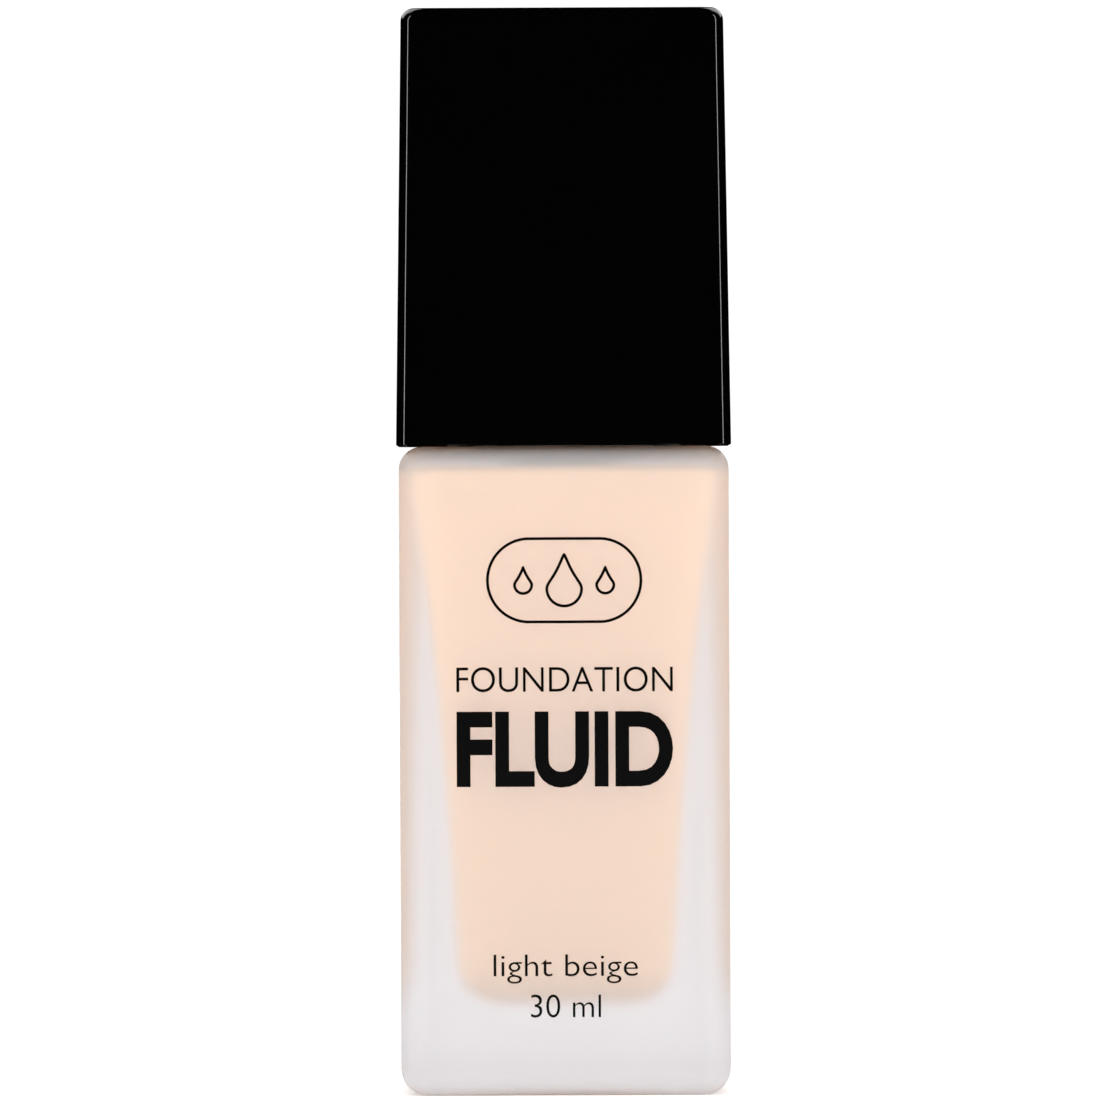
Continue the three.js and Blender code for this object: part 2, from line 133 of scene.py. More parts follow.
def makeStudio():
    world = bpy.data.worlds.new("paleStudio")
    world.use_nodes = True
    backdrop = world.node_tree.nodes["Background"]
    backdrop.inputs["Color"].default_value = (1.0, 1.0, 1.0, 1)
    backdrop.inputs["Strength"].default_value = studio["skyStrength"]
    world.cycles_visibility.glossy = False
    bpy.context.scene.world = world
    bpy.context.scene.view_settings.view_transform = "Standard"

    for side in (-1, 1):
        addSoftbox("edgeStrip", side * studio["stripTurn"], 0, studio["stripDistance"],
                   studio["stripSize"], studio["stripPower"], "gloss")
        addSoftbox("rearBox", side * studio["rearTurn"], studio["rearLift"], studio["rearDistance"],
                   studio["rearSize"], studio["rearPower"], "gloss")
        addSoftbox("frontBox", side * studio["frontTurn"], studio["frontLift"], studio["frontDistance"],
                   studio["frontSize"], studio["frontPower"], "soft")
    addSoftbox("topBox", 0, 90, studio["topDistance"], studio["topSize"], studio["topPower"], "soft")

    clearSelection()
    bpy.ops.mesh.primitive_plane_add(size=studio["floorSize"] * mm)
    floor = nameActive("studioFloor")
    floor.data.materials.append(finishes["floor"])
    print("studio lit")


def boxOf(node):
    low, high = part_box(node)
    return low / mm, high / mm


def clearSelection():
    if bpy.context.mode != "OBJECT":
        bpy.ops.object.mode_set(mode="OBJECT")
    bpy.ops.object.select_all(action="DESELECT")


def choose(piece):
    clearSelection()
    piece.select_set(True)
    bpy.context.view_layer.objects.active = piece


def nameActive(name):
    piece = bpy.context.object
    piece.name = name
    piece.data.name = name
    return piece


def pick(piece, kind, test):
    # in edit mode, selects the vertices, edges or faces that pass the test
    bpy.ops.mesh.select_mode(type=kind)
    bpy.ops.mesh.select_all(action="DESELECT")
    shape = bmesh.from_edit_mesh(piece.data)
    parts = {"VERT": shape.verts, "EDGE": shape.edges, "FACE": shape.faces}[kind]
    for part in parts:
        if test(part):
            part.select_set(True)
    shape.select_flush_mode()
    bmesh.update_edit_mesh(piece.data)


def level(part, height):
    # every corner of the edge or face lies at a height
    return all(abs(corner.co.z - height * mm) < 1e-6 for corner in part.verts)


def isUpright(edge):
    along = edge.verts[1].co - edge.verts[0].co
    return abs(along.z) > 0.9 * along.length


def facesOut(face):
    # a large flat face on one of the four sides
    return abs(face.normal.z) < 0.1 and max(abs(face.normal.x), abs(face.normal.y)) > 0.9998


def startBlock(name, half, low, high, corner, cornerSteps=10, sideCuts=0):
    # an upright square block with rounded upright corners, left in edit mode
    clearSelection()
    bpy.ops.mesh.primitive_cube_add(size=2 * half * mm, location=(0, 0, (low + high) / 2 * mm))
    piece = nameActive(name)
    piece.scale.z = (high - low) / (2 * half)
    bpy.ops.object.transform_apply(location=True, rotation=True, scale=True)
    bpy.ops.object.mode_set(mode="EDIT")
    pick(piece, "EDGE", isUpright)
    bpy.ops.mesh.bevel(offset=corner * mm, segments=cornerSteps, affect="EDGES")
    if sideCuts:
        straight = 2 * (half - corner) * mm
        pick(piece, "EDGE", lambda edge: not isUpright(edge) and edge.calc_length() > 0.9 * straight)
        bpy.ops.mesh.subdivide(number_cuts=sideCuts)
    return piece


def softenRim(piece, height, radius, steps=8):
    pick(piece, "EDGE", lambda edge: level(edge, height))
    bpy.ops.mesh.bevel(offset=radius * mm, segments=steps, affect="EDGES")


def carryFace(piece, height, share, rise):
    # extrudes the level face at a height by a rise and scales it to a share of its size
    pick(piece, "FACE", lambda face: level(face, height))
    bpy.ops.mesh.extrude_region_move(TRANSFORM_OT_translate={"value": (0, 0, rise * mm)})
    bpy.ops.transform.resize(value=(share, share, 1), center_override=(0, 0, (height + rise) * mm))


def turned(name, profile, steps=96):
    # draws the profile of (radius, height) points with one vertex and spins it about the Z axis
    clearSelection()
    radius, height = profile[0]
    bpy.ops.mesh.primitive_plane_add(size=mm, location=(radius * mm, 0, height * mm))
    piece = nameActive(name)
    bpy.ops.object.transform_apply(location=True, rotation=True, scale=True)
    bpy.ops.object.mode_set(mode="EDIT")
    bpy.ops.mesh.select_mode(type="VERT")
    bpy.ops.mesh.select_all(action="SELECT")
    bpy.ops.mesh.merge(type="CENTER")
    for (fromRadius, fromHeight), (toRadius, toHeight) in zip(profile, profile[1:]):
        step = ((toRadius - fromRadius) * mm, 0, (toHeight - fromHeight) * mm)
        bpy.ops.mesh.extrude_region_move(TRANSFORM_OT_translate={"value": step})
    bpy.ops.mesh.select_all(action="SELECT")
    bpy.ops.mesh.spin(steps=steps, angle=math.tau, center=(0, 0, 0), axis=(0, 0, 1))
    bpy.ops.mesh.select_all(action="SELECT")
    bpy.ops.mesh.remove_doubles(threshold=1e-6)
    bpy.ops.mesh.normals_make_consistent(inside=False)
    bpy.ops.object.mode_set(mode="OBJECT")
    return piece


def arc(radius, height, size, fromAngle, toAngle, steps=6):
    # points (radius, height) on a round stretch of a profile, with angles in degrees
    angles = [math.radians(fromAngle + (toAngle - fromAngle) * i / steps) for i in range(steps + 1)]
    return [(radius + size * math.cos(a), height + size * math.sin(a)) for a in angles]


def combine(piece, other, how):
    # joins the other object to the piece, or cuts it away, and removes the other
    choose(piece)
    bpy.ops.object.modifier_add(type="BOOLEAN")
    boolean = piece.modifiers[-1]
    boolean.operation = how
    boolean.solver = "EXACT"
    boolean.object = other
    bpy.ops.object.modifier_apply(modifier=boolean.name)
    bpy.data.objects.remove(other, do_unlink=True)


def roundEdges(piece, width, segments=3, angle=35):
    choose(piece)
    bpy.ops.object.modifier_add(type="BEVEL")
    bevel = piece.modifiers[-1]
    bevel.width = width * mm
    bevel.segments = segments
    bevel.limit_method = "ANGLE"
    bevel.angle_limit = math.radians(angle)
    bpy.ops.object.modifier_apply(modifier=bevel.name)


def addRod(radius, fromPoint, toPoint, steps=64):
    # a plain rod between two points, for cuts
    start, end = Vector(fromPoint) * mm, Vector(toPoint) * mm
    clearSelection()
    bpy.ops.mesh.primitive_cylinder_add(
        radius=radius * mm, depth=(end - start).length, vertices=steps, location=(start + end) / 2)
    rod = nameActive("cuttingRod")
    rod.rotation_euler = (end - start).to_track_quat("Z", "Y").to_euler()
    bpy.ops.object.transform_apply(location=True, rotation=True, scale=True)
    return rod


def settle(piece, body, slotName, finish, *nodes, smooth=35, weighted=True):
    # the last step of a piece: cleaning, shading, finish, body and the nodes it stands for
    choose(piece)
    bpy.ops.object.mode_set(mode="EDIT")
    bpy.ops.mesh.select_all(action="SELECT")
    bpy.ops.mesh.remove_doubles(threshold=seam * mm)
    bpy.ops.mesh.dissolve_degenerate(threshold=seam * mm)
    bpy.ops.object.mode_set(mode="OBJECT")
    bpy.ops.object.shade_smooth_by_angle(angle=math.radians(smooth))
    if weighted:
        bpy.ops.object.modifier_add(type="WEIGHTED_NORMAL")
        normals = piece.modifiers[-1]
        normals.keep_sharp = True
        bpy.ops.object.modifier_apply(modifier=normals.name)
    piece.data.materials.clear()
    piece.data.materials.append(finishes[finish])
    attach(piece, body)
    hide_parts(*nodes)
    print("made", piece.name, len(piece.data.polygons), "faces")


def addNodes(tree, kinds):
    return {name: tree.nodes.new(kind) for name, kind in kinds.items()}


def makeSurfaceGrain():
    # fine unevenness of a moulded, etched or drawn surface: a roughness that varies and a bumped normal
    group = bpy.data.node_groups.new("surfaceGrain", "ShaderNodeTree")
    face = group.interface
    for name, value in (("Scale", 800), ("Roughness", 0.3), ("Spread", 0.1), ("Height", 0.1)):
        face.new_socket(name=name, in_out="INPUT", socket_type="NodeSocketFloat").default_value = value
    face.new_socket(name="Roughness", in_out="OUTPUT", socket_type="NodeSocketFloat")
    face.new_socket(name="Normal", in_out="OUTPUT", socket_type="NodeSocketVector")
    made = addNodes(group, {
        "given": "NodeGroupInput", "result": "NodeGroupOutput", "place": "ShaderNodeTexCoord",
        "grain": "ShaderNodeTexNoise", "patches": "ShaderNodeTexNoise", "coarse": "ShaderNodeMath",
        "centre": "ShaderNodeMath", "spread": "ShaderNodeMath", "sum": "ShaderNodeMath",
        "bump": "ShaderNodeBump",
    })
    link = group.links.new
    made["grain"].inputs["Detail"].default_value = 3
    made["patches"].inputs["Detail"].default_value = 2
    made["coarse"].operation = "MULTIPLY"
    made["coarse"].inputs[1].default_value = 0.08  # patches are much larger than the grain
    made["centre"].operation = "SUBTRACT"
    made["centre"].inputs[1].default_value = 0.5
    made["spread"].operation = "MULTIPLY"
    made["bump"].inputs["Distance"].default_value = 0.02 * mm
    link(made["place"].outputs["Object"], made["grain"].inputs["Vector"])
    link(made["place"].outputs["Object"], made["patches"].inputs["Vector"])
    link(made["given"].outputs["Scale"], made["grain"].inputs["Scale"])
    link(made["given"].outputs["Scale"], made["coarse"].inputs[0])
    link(made["coarse"].outputs[0], made["patches"].inputs["Scale"])
    link(made["patches"].outputs["Fac"], made["centre"].inputs[0])
    link(made["centre"].outputs[0], made["spread"].inputs[0])
    link(made["given"].outputs["Spread"], made["spread"].inputs[1])
    link(made["spread"].outputs[0], made["sum"].inputs[0])
    link(made["given"].outputs["Roughness"], made["sum"].inputs[1])
    link(made["grain"].outputs["Fac"], made["bump"].inputs["Height"])
    link(made["given"].outputs["Height"], made["bump"].inputs["Strength"])
    link(made["sum"].outputs[0], made["result"].inputs["Roughness"])
    link(made["bump"].outputs["Normal"], made["result"].inputs["Normal"])
    return group


def makeToneDrift():
    # slow drift between two colours, as in a poured, dyed or anodised finish
    group = bpy.data.node_groups.new("toneDrift", "ShaderNodeTree")
    face = group.interface
    face.new_socket(name="Scale", in_out="INPUT", socket_type="NodeSocketFloat").default_value = 60
    face.new_socket(name="Colour A", in_out="INPUT", socket_type="NodeSocketColor")
    face.new_socket(name="Colour B", in_out="INPUT", socket_type="NodeSocketColor")
    face.new_socket(name="Colour", in_out="OUTPUT", socket_type="NodeSocketColor")
    made = addNodes(group, {
        "given": "NodeGroupInput", "result": "NodeGroupOutput", "place": "ShaderNodeTexCoord",
        "drift": "ShaderNodeTexNoise", "blend": "ShaderNodeMix",
    })
    link = group.links.new
    made["drift"].inputs["Detail"].default_value = 2
    made["blend"].data_type = "RGBA"
    link(made["place"].outputs["Object"], made["drift"].inputs["Vector"])
    link(made["given"].outputs["Scale"], made["drift"].inputs["Scale"])
    link(made["drift"].outputs["Fac"], made["blend"].inputs["Factor"])
    link(made["given"].outputs["Colour A"], made["blend"].inputs["A"])
    link(made["given"].outputs["Colour B"], made["blend"].inputs["B"])
    link(made["blend"].outputs["Result"], made["result"].inputs["Colour"])
    return group


def makeFinish(name, colourA, colourB, grain, plain):
    # a finish of two close colours and a grain, with plain values on the shader's own sockets
    material = bpy.data.materials.new(name)
    material.use_nodes = True
    tree = material.node_tree
    shader = tree.nodes["Principled BSDF"]
    tone = tree.nodes.new("ShaderNodeGroup")
    tone.node_tree = groups["toneDrift"]
    tone.inputs["Colour A"].default_value = (*colourA, 1)
    tone.inputs["Colour B"].default_value = (*colourB, 1)
    skin = tree.nodes.new("ShaderNodeGroup")
    skin.node_tree = groups["surfaceGrain"]
    for socket, value in grain.items():
        skin.inputs[socket].default_value = value
    tree.links.new(tone.outputs["Colour"], shader.inputs["Base Color"])
    tree.links.new(skin.outputs["Roughness"], shader.inputs["Roughness"])
    tree.links.new(skin.outputs["Normal"], shader.inputs["Normal"])
    for socket, value in plain.items():
        shader.inputs[socket].default_value = value
    return material


frost = {
    "roughness": 0.48,
    "clear": 0.75,  # the rest of the light is scattered back by the frost
    "tint": (0.05, 0.0, 0.04),
    "density": 14,
}


def makeFrostedGlass():
    # etched on the outside, and a little grey in its depth
    material = makeFinish("frostedGlass", (0.90, 0.89, 0.905), (0.92, 0.91, 0.925),
                          {"Scale": 5200, "Roughness": frost["roughness"], "Spread": 0.05, "Height": 0.12},
                          {"Transmission Weight": frost["clear"], "IOR": 1.5})
    tree = material.node_tree
    depth = tree.nodes.new("ShaderNodeVolumeAbsorption")
    depth.inputs["Color"].default_value = (*frost["tint"], 1)
    depth.inputs["Density"].default_value = frost["density"]
    tree.links.new(depth.outputs["Volume"], tree.nodes["Material Output"].inputs["Volume"])
    return material


def makeFinishes():
    made = {"frostedGlass": makeFrostedGlass()}
    fine = {"Scale": 900, "Roughness": 0.3, "Spread": 0.08, "Height": 0.05}
    recipes = {
        # name: two colours, grain, plain values
        "foundation": ((0.965, 0.58, 0.275), (0.95, 0.57, 0.265), {**fine, "Roughness": 0.1},
                       {"IOR": 1.4, "Coat Weight": 1.0, "Coat Roughness": 0.03}),
        "glossBlack": ((0.0003, 0.0003, 0.0003), (0.0005, 0.0005, 0.0005),
                       {"Scale": 500, "Roughness": 0.06, "Spread": 0.03, "Height": 0.004},
                       {"IOR": 1.5, "Specular IOR Level": 0.34}),
        "satinBlack": ((0.009, 0.009, 0.01), (0.014, 0.014, 0.015),
                       {"Scale": 3000, "Roughness": 0.42, "Spread": 0.12, "Height": 0.25}, {"IOR": 1.48}),
        "anodisedBlack": ((0.012, 0.012, 0.014), (0.02, 0.02, 0.023),
                          {"Scale": 2000, "Roughness": 0.22, "Spread": 0.08, "Height": 0.05},
                          {"Metallic": 1.0}),
        "naturalPlastic": ((0.80, 0.81, 0.79), (0.86, 0.86, 0.84),
                           {"Scale": 1500, "Roughness": 0.38, "Spread": 0.1, "Height": 0.08},
                           {"Subsurface Weight": 0.2, "Subsurface Scale": 0.002}),
        "pistonPlastic": ((0.84, 0.84, 0.80), (0.88, 0.88, 0.85),
                          {"Scale": 1200, "Roughness": 0.5, "Spread": 0.1, "Height": 0.1}, {}),
        "gasketFoam": ((0.76, 0.76, 0.73), (0.84, 0.84, 0.81),
                       {"Scale": 4200, "Roughness": 0.85, "Spread": 0.1, "Height": 0.8}, {}),
        "springSteel": ((0.55, 0.56, 0.58), (0.68, 0.69, 0.71),
                        {"Scale": 3500, "Roughness": 0.24, "Spread": 0.14, "Height": 0.15},
                        {"Metallic": 1.0}),
        "ballSteel": ((0.62, 0.63, 0.65), (0.7, 0.71, 0.73),
                      {"Scale": 900, "Roughness": 0.1, "Spread": 0.05, "Height": 0.01}, {"Metallic": 1.0}),
        "printInk": ((0.0006, 0.0005, 0.0005), (0.001, 0.0009, 0.0009),
                     {"Scale": 6000, "Roughness": 0.12, "Spread": 0.05, "Height": 0.05},
                     {"Specular IOR Level": 0.06}),
        "stickerFilm": ((0.83, 0.83, 0.81), (0.87, 0.87, 0.85),
                        {"Scale": 2500, "Roughness": 0.55, "Spread": 0.1, "Height": 0.2}, {}),
        "floor": ((0.97, 0.97, 0.97), (0.98, 0.98, 0.98),
                  {"Scale": 30, "Roughness": 0.8, "Spread": 0.05, "Height": 0.0},
                  {"Specular IOR Level": 0, "Emission Color": (1, 1, 1, 1), "Emission Strength": 0.14}),
    }
    for name, recipe in recipes.items():
        made[name] = makeFinish(name, *recipe)
    return made


glass = {
    "shoulder": 64.9,  # height of the body
    "corner": 3.0,
    "footFillet": 2.7,
    "shoulderFillet": 2.3,
    "rimHalf": 11.0,  # flat rim under the base runs from here outwards
    "recessHalf": 8.6,
    "recessRise": 0.8,
    "sideCuts": 13,
    "cornerSteps": 10,
    "neckRadius": 8.8,
    "neckBore": 5.6,
    "neckEdge": 0.5,
}

chamber = {
    "floor": 9.0,
    "ceiling": 62.9,
    "floorHalf": 10.7,
    "ceilingHalf": 15.0,
    "cornerShare": 0.16,  # corner radius as a share of the half width
    "floorFillet": 4.4,
    "ceilingFillet": 1.0,
    "curve": 1.4,  # how the side bows on its way up
    "rings": 14,
}


def chamberHalf(height):
    share = max(0, height - chamber["floor"]) / (chamber["ceiling"] - chamber["floor"])
    spread = chamber["ceilingHalf"] - chamber["floorHalf"]
    return chamber["floorHalf"] + spread * share ** chamber["curve"]


def chamberProfile(top, grow):
    # (half width, height) from the floor up to a height at or under the ceiling, grown outwards a little
    fillet, floor = chamber["floorFillet"], chamber["floor"] - grow
    wallLow = floor + fillet
    wallHalf = chamberHalf(wallLow) + grow
    ceiling = chamber["ceiling"] + grow
    wallTop = min(top, ceiling - chamber["ceilingFillet"] - 0.4)
    points = arc(wallHalf - fillet, wallLow, fillet, 270, 350, 8)
    for i in range(1, chamber["rings"] + 1):
        height = wallLow + (wallTop - wallLow) * i / chamber["rings"]
        points.append((chamberHalf(height) + grow, height))
    if top > wallTop:
        fillet = chamber["ceilingFillet"]
        points += arc(chamber["ceilingHalf"] + grow - fillet, ceiling - fillet, fillet, 10, 90, 6)
    return points


def makeChamberBlock(name, top, grow):
    # a thin slab of the floor's outline, whose top is carried up the profile and scaled at each point
    profile = chamberProfile(top, grow)
    (startHalf, startHeight), *rest = profile
    firstHalf, firstHeight = rest[0]
    block = startBlock(name, startHalf, startHeight, firstHeight, startHalf * chamber["cornerShare"],
                       glass["cornerSteps"], glass["sideCuts"])
    pick(block, "FACE", lambda face: level(face, firstHeight))
    widening = firstHalf / startHalf
    bpy.ops.transform.resize(value=(widening, widening, 1), center_override=(0, 0, 0))
    half, height = firstHalf, firstHeight
    for nextHalf, nextHeight in rest[1:]:
        carryFace(block, height, nextHalf / half, nextHeight - height)
        half, height = nextHalf, nextHeight
    return block


threading = {"pitch": 3.175, "top": 2.4}  # top is how far under the rim the thread starts


def makeNeckThread():
    # a raised thread wound on the neck, closed at both ends
    thread = {"turns": 1.5, "root": 1.9, "crest": 0.9, "stand": 1.0, "sunk": 0.3}
    top = boxOf("bottle")[1].z - threading["top"]
    return windThread("neckThread", glass["neckRadius"], thread, top, 1)


def windThread(name, radius, thread, top, side):
    # the thread's section is a quad, tapered towards its crest, carried down a helix by a screw modifier
    clearSelection()
    depth = thread["stand"] + thread["sunk"]
    middle = radius + side * (thread["stand"] - thread["sunk"]) / 2
    bpy.ops.mesh.primitive_plane_add(
        size=depth * mm, location=(middle * mm, 0, top * mm), rotation=(math.pi / 2, 0, 0))
    piece = nameActive(name)
    bpy.ops.object.transform_apply(location=True, rotation=True, scale=True)
    bpy.ops.object.mode_set(mode="EDIT")
    for inner, width in ((True, thread["root"]), (False, thread["crest"])):
        pick(piece, "VERT", lambda corner: (side * corner.co.x < side * middle * mm) == inner)
        bpy.ops.transform.resize(value=(1, 1, width / depth), center_override=(0, 0, top * mm))
    bpy.ops.mesh.select_all(action="SELECT")
    bpy.ops.mesh.delete(type="ONLY_FACE")
    bpy.ops.object.mode_set(mode="OBJECT")
    bpy.ops.object.modifier_add(type="SCREW")
    screw = piece.modifiers[-1]
    screw.angle = -math.tau * thread["turns"]
    screw.screw_offset = -threading["pitch"] * thread["turns"] * mm
    screw.steps = screw.render_steps = int(48 * thread["turns"])
    bpy.ops.object.modifier_apply(modifier=screw.name)
    bpy.ops.object.mode_set(mode="EDIT")
    pick(piece, "EDGE", lambda edge: edge.is_boundary)
    bpy.ops.mesh.fill()
    bpy.ops.mesh.select_all(action="SELECT")
    bpy.ops.mesh.normals_make_consistent(inside=False)
    bpy.ops.object.mode_set(mode="OBJECT")
    return piece


def makeGlassBottle():
    foot, rim = boxOf("bottle")
    half = -foot.x
    shoulder, neckTop = glass["shoulder"], rim.z
    body = startBlock("glassBottle", half, 0, shoulder, glass["corner"],
                      glass["cornerSteps"], glass["sideCuts"])
    softenRim(body, 0, glass["footFillet"])
    softenRim(body, shoulder, glass["shoulderFillet"])
    pick(body, "FACE", facesOut)
    bpy.ops.mesh.inset(thickness=0.25 * mm, use_boundary=True)  # keeps the flat sides flat in shading

    footHalf = half - glass["footFillet"]
    carryFace(body, 0, glass["rimHalf"] / footHalf, 0)
    carryFace(body, 0, glass["recessHalf"] / glass["rimHalf"], glass["recessRise"])

    pick(body, "FACE", lambda face: level(face, shoulder))
    bpy.ops.mesh.delete(type="FACE")

    ceiling, neck, bore = chamber["ceiling"], glass["neckRadius"], glass["neckBore"]
    neckPiece = turned("neck", [
        *arc(neck + 0.6, shoulder + 0.6, 0.6, 270, 180),
        *arc(neck - glass["neckEdge"], neckTop - glass["neckEdge"], glass["neckEdge"], 0, 90),
        *arc(bore + 0.4, neckTop - 0.4, 0.4, 90, 180),
        *arc(bore + 0.8, ceiling + 0.8, 0.8, 180, 270),
    ], steps=4 * (glass["cornerSteps"] + glass["sideCuts"] + 1))

    inner = makeChamberBlock("chamber", ceiling, 0)
    pick(inner, "FACE", lambda face: level(face, ceiling))
    bpy.ops.mesh.delete(type="FACE")
    bpy.ops.mesh.select_all(action="SELECT")
    bpy.ops.mesh.flip_normals()  # the wall faces into the hollow, so the bridge to the neck isn't twisted

    clearSelection()
    for part in (neckPiece, inner, body):
        part.select_set(True)
    bpy.context.view_layer.objects.active = body
    bpy.ops.object.join()
    bpy.ops.object.mode_set(mode="EDIT")
    for height in (shoulder, ceiling):
        pick(body, "EDGE", lambda edge: edge.is_boundary and level(edge, height))
        bpy.ops.mesh.bridge_edge_loops()
    bpy.ops.mesh.select_all(action="SELECT")
    bpy.ops.mesh.normals_make_consistent(inside=False)
    bpy.ops.object.mode_set(mode="OBJECT")
    combine(body, makeNeckThread(), "UNION")
    settle(body, "bottle", "frosted_glass", "frostedGlass", "bottle")


liquid = {
    "overlap": 0.03,  # the liquid wets the wall, so it runs just into the glass
    "film": 0.3,  # what clings to the wall above the fill level
    "pumpWell": 5.0,
    "neckWell": 6.6,
    "neckWellLow": 62.0,
    "tubeWell": 1.9,
    "tubeWellLow": 11.5,
    "barrelWellLow": 48.5,
}


def makeLiquid():
    fillLevel = boxOf("foundation_fill")[1].z
    ceiling, film = chamber["ceiling"], liquid["film"]
    fill = makeChamberBlock("foundationLiquid", ceiling, liquid["overlap"])
    bpy.ops.object.mode_set(mode="OBJECT")

    airHalf = chamberHalf(fillLevel) - film
    air = startBlock("air", airHalf, fillLevel, ceiling - film, airHalf * chamber["cornerShare"], 8)
    softenRim(air, fillLevel, 0.35, 4)
    bpy.ops.object.mode_set(mode="OBJECT")
    combine(fill, air, "DIFFERENCE")

    well = turned("pumpWell", [
        (0, ceiling + 1), (liquid["neckWell"], ceiling + 1), (liquid["neckWell"], liquid["neckWellLow"]),
        (liquid["pumpWell"], liquid["neckWellLow"]), (liquid["pumpWell"], liquid["barrelWellLow"]),
        (liquid["tubeWell"], liquid["barrelWellLow"]), (liquid["tubeWell"], liquid["tubeWellLow"]),
        (0, liquid["tubeWellLow"]),
    ], steps=48)
    combine(fill, well, "DIFFERENCE")
    settle(fill, "bottle", "foundation_liquid", "foundation", "foundation_fill")


sticker = {"corner": 2.0, "borderWidth": 0.5, "borderInset": 0.6}


def makeBaseSticker():
    low, high = boxOf("base_label")
    film = startBlock("baseSticker", high.x, low.z, high.z, sticker["corner"], 8)
    pick(film, "FACE", lambda face: level(face, low.z))
    bpy.ops.mesh.inset(thickness=sticker["borderInset"] * mm)
    bpy.ops.mesh.inset(thickness=sticker["borderWidth"] * mm, depth=0.02 * mm)
    bpy.ops.object.mode_set(mode="OBJECT")
    settle(film, "bottle", "label_film", "stickerFilm", "base_label")


printing = {
    "ink": 0.03,  # thickness of the ink
    "lift": 0.004,  # keeps the ink just off the glass
    "line": 0.28,  # width of the thin lines
    "badgeWide": 15.6,
    "badgeTall": 8.6,
    "badgeHeight": 51.5,
    "dropletSize": 1.25,
    "middleDroplet": 1.5,  # shares of that size
    "sideDroplet": 0.8,
    "dropletGap": 4.1,
    "words": [
        # text, middle height, width, height, boldness
        ("FOUNDATION", 41.6, 21.6, 2.5, -0.006),
        ("FLUID", 34.6, 21.6, 7.6, 0.034),
        ("light beige", 12.7, 14.4, 2.9, -0.008),
        ("30 ml", 9.0, 7.0, 2.3, -0.008),
    ],
}


def raiseInk(piece):
    # gives a flat outline facing the camera the thickness of the ink
    front = boxOf("bottle")[0].y * mm
    choose(piece)
    bpy.ops.object.transform_apply(location=True, rotation=True, scale=True)
    bpy.ops.object.modifier_add(type="SOLIDIFY")
    layer = piece.modifiers[-1]
    layer.thickness = printing["ink"] * mm
    layer.offset = 0
    bpy.ops.object.modifier_apply(modifier=layer.name)
    bpy.ops.object.mode_set(mode="EDIT")
    bpy.ops.mesh.select_all(action="SELECT")
    bpy.ops.mesh.remove_doubles(threshold=1e-6)
    bpy.ops.mesh.normals_make_consistent(inside=False)
    bpy.ops.object.mode_set(mode="OBJECT")
    piece.location.y = front - (printing["ink"] / 2 + printing["lift"]) * mm
    bpy.ops.object.transform_apply(location=True, rotation=True, scale=True)
    return piece


def printWord(text, height, wide, tall, boldness):
    clearSelection()
    bpy.ops.object.text_add(rotation=(math.pi / 2, 0, 0))
    word = bpy.context.object
    word.data.body = text
    word.data.offset = boldness
    word.data.resolution_u = 6
    bpy.ops.object.convert(target="MESH")
    word = nameActive("word." + text.split()[0])
    bpy.ops.object.transform_apply(location=True, rotation=True, scale=True)
    xs = [corner.co.x for corner in word.data.vertices]
    zs = [corner.co.z for corner in word.data.vertices]
    across, up = max(xs) - min(xs), max(zs) - min(zs)
    bpy.ops.object.mode_set(mode="EDIT")
    bpy.ops.mesh.select_all(action="SELECT")
    bpy.ops.transform.translate(value=(-(max(xs) + min(xs)) / 2, 0, -(max(zs) + min(zs)) / 2))
    bpy.ops.transform.resize(value=(wide * mm / across, 1, tall * mm / up), center_override=(0, 0, 0))
    bpy.ops.transform.translate(value=(0, 0, height * mm))
    bpy.ops.object.mode_set(mode="OBJECT")
    return raiseInk(word)


def printBadge():
    # a thin outline with round ends
    wide, tall = printing["badgeWide"], printing["badgeTall"]
    clearSelection()
    bpy.ops.mesh.primitive_circle_add(vertices=96, radius=tall / 2 * mm, fill_type="NGON",
                                      rotation=(math.pi / 2, 0, 0))
    badge = nameActive("badge")
    bpy.ops.object.transform_apply(location=True, rotation=True, scale=True)
    bpy.ops.object.mode_set(mode="EDIT")
    for side in (-1, 1):
        pick(badge, "VERT", lambda corner: side * corner.co.x > 1e-6)
        bpy.ops.transform.translate(value=(side * (wide - tall) / 2 * mm, 0, 0))
    bpy.ops.mesh.select_mode(type="FACE")
    bpy.ops.mesh.select_all(action="SELECT")
    bpy.ops.mesh.inset(thickness=printing["line"] * mm)
    bpy.ops.mesh.delete(type="FACE")
    bpy.ops.mesh.select_all(action="SELECT")
    bpy.ops.transform.translate(value=(0, 0, printing["badgeHeight"] * mm))
    bpy.ops.object.mode_set(mode="OBJECT")
    return raiseInk(badge)


def printDroplet(sideways, size):
    # a droplet outline: a circle drawn up to a point
    clearSelection()
    bpy.ops.mesh.primitive_circle_add(vertices=64, radius=size * mm, fill_type="NGON",
                                      rotation=(math.pi / 2, 0, 0))
    droplet = nameActive("droplet")
    bpy.ops.object.transform_apply(location=True, rotation=True, scale=True)
    bpy.ops.object.mode_set(mode="EDIT")
    shape = bmesh.from_edit_mesh(droplet.data)
    for corner in shape.verts:
        rise = max(0, corner.co.z / (size * mm))
        corner.co.x *= 1 - rise ** 2 * 0.55
        corner.co.z *= 1 + rise ** 3 * 0.9
    bmesh.update_edit_mesh(droplet.data)
    bpy.ops.mesh.select_mode(type="FACE")
    bpy.ops.mesh.select_all(action="SELECT")
    bpy.ops.mesh.inset(thickness=printing["line"] * mm)
    bpy.ops.mesh.delete(type="FACE")
    bpy.ops.mesh.select_all(action="SELECT")
    bpy.ops.transform.translate(value=(sideways * mm, 0, (printing["badgeHeight"] - 0.45 * size) * mm))
    bpy.ops.object.mode_set(mode="OBJECT")
    return raiseInk(droplet)


